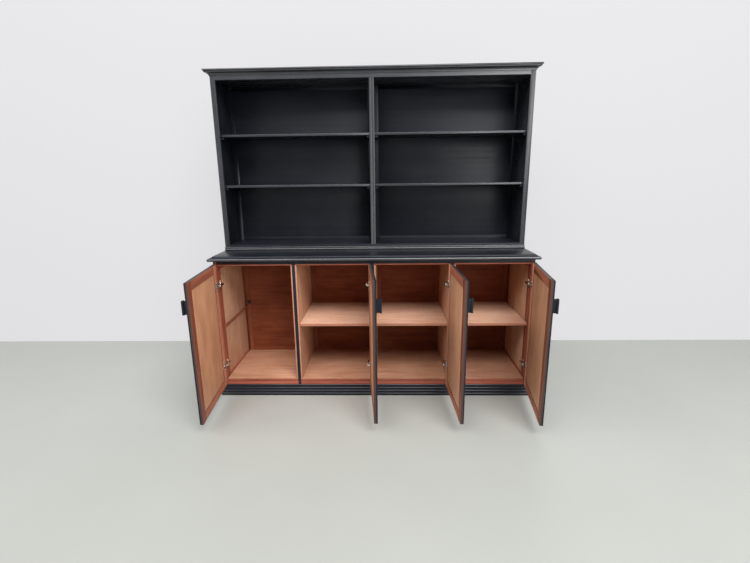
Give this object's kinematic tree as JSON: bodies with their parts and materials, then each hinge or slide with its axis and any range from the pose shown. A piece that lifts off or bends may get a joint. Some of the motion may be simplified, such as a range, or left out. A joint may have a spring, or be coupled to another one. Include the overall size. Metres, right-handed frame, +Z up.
{
  "type": "credenza",
  "caption": "Black-painted credenza with framed doors on concealed hinges, moulded worktop and plinth, and an open shelved hutch with a cornice.",
  "frame": {"origin": "middle of the base cabinet's footprint, on the floor", "axes": "+Z up, -Y out of the front where the doors open, +X to the right of someone who faces the front"},
  "size_m": [2.064, 1.0113, 2.062],
  "materials": {
    "black_paint": "satin black paint over wood, brushed by hand",
    "red_hardwood": "bare red-brown hardwood, oiled",
    "veneer": "bare light brown veneered board",
    "back_panel": "bare reddish plywood",
    "nickel": "bright nickel plate",
    "screw_steel": "zinc plate"
  },
  "bodies": {
    "carcass": {"plinth_frame": "red_hardwood", "plinth_front": "black_paint", "plinth_returns": "black_paint", "floor_board": "veneer", "floor_rail": "red_hardwood", "base_side_left": "red_hardwood", "base_side_right": "red_hardwood", "base_side_panels": "veneer", "divider_left": "veneer", "divider_centre": "veneer", "divider_right": "veneer", "base_back_frame": "red_hardwood", "base_back_panels": "back_panel", "top_rail": "red_hardwood", "worktop": "black_paint", "shelf_bay_2": "veneer", "shelf_bay_3": "veneer", "shelf_bay_4": "veneer", "base_cleats": "red_hardwood", "hinge_arms": "nickel", "hinge_plates": "nickel", "hutch_side_left": "black_paint", "hutch_side_right": "black_paint", "hutch_divider": "black_paint", "hutch_bottom": "black_paint", "hutch_top": "black_paint", "hutch_back_frame": "black_paint", "hutch_back_panels": "black_paint", "hutch_stiles": "black_paint", "hutch_centre_stile": "black_paint", "hutch_top_rail": "black_paint", "hutch_foot_rail": "black_paint", "hutch_bead": "black_paint", "hutch_shelves_lower": "black_paint", "hutch_shelves_upper": "black_paint", "hutch_cleats": "black_paint", "hutch_screws": "screw_steel", "cornice_front": "black_paint", "cornice_returns": "black_paint"},
    "door_1": {"door_1_stiles": "red_hardwood", "door_1_rails": "red_hardwood", "door_1_panel": "veneer", "door_1_pull": "black_paint", "door_1_fittings": "nickel"},
    "door_2": {"door_2_stiles": "red_hardwood", "door_2_rails": "red_hardwood", "door_2_panel": "veneer", "door_2_pull": "black_paint", "door_2_fittings": "nickel"},
    "door_3": {"door_3_stiles": "red_hardwood", "door_3_rails": "red_hardwood", "door_3_panel": "veneer", "door_3_pull": "black_paint", "door_3_fittings": "nickel"},
    "door_4": {"door_4_stiles": "red_hardwood", "door_4_rails": "red_hardwood", "door_4_panel": "veneer", "door_4_pull": "black_paint", "door_4_fittings": "nickel"}
  },
  "joints": [
    {"name": "door_1_hinge", "type": "hinge", "parent": "carcass", "child": "door_1", "pos_m": [-0.99, -0.2684, 0.481], "axis": [0, 0, 1], "range_deg": [-15.1, 84.9]},
    {"name": "door_2_hinge", "type": "hinge", "parent": "carcass", "child": "door_2", "pos_m": [-0.0165, -0.2684, 0.481], "axis": [0, 0, 1], "range_deg": [-94.6, 5.4]},
    {"name": "door_3_hinge", "type": "hinge", "parent": "carcass", "child": "door_3", "pos_m": [0.4785, -0.2684, 0.481], "axis": [0, 0, 1], "range_deg": [-92.1, 7.9]},
    {"name": "door_4_hinge", "type": "hinge", "parent": "carcass", "child": "door_4", "pos_m": [0.99, -0.2684, 0.481], "axis": [0, 0, 1], "range_deg": [-82.3, 17.7]}
  ]
}
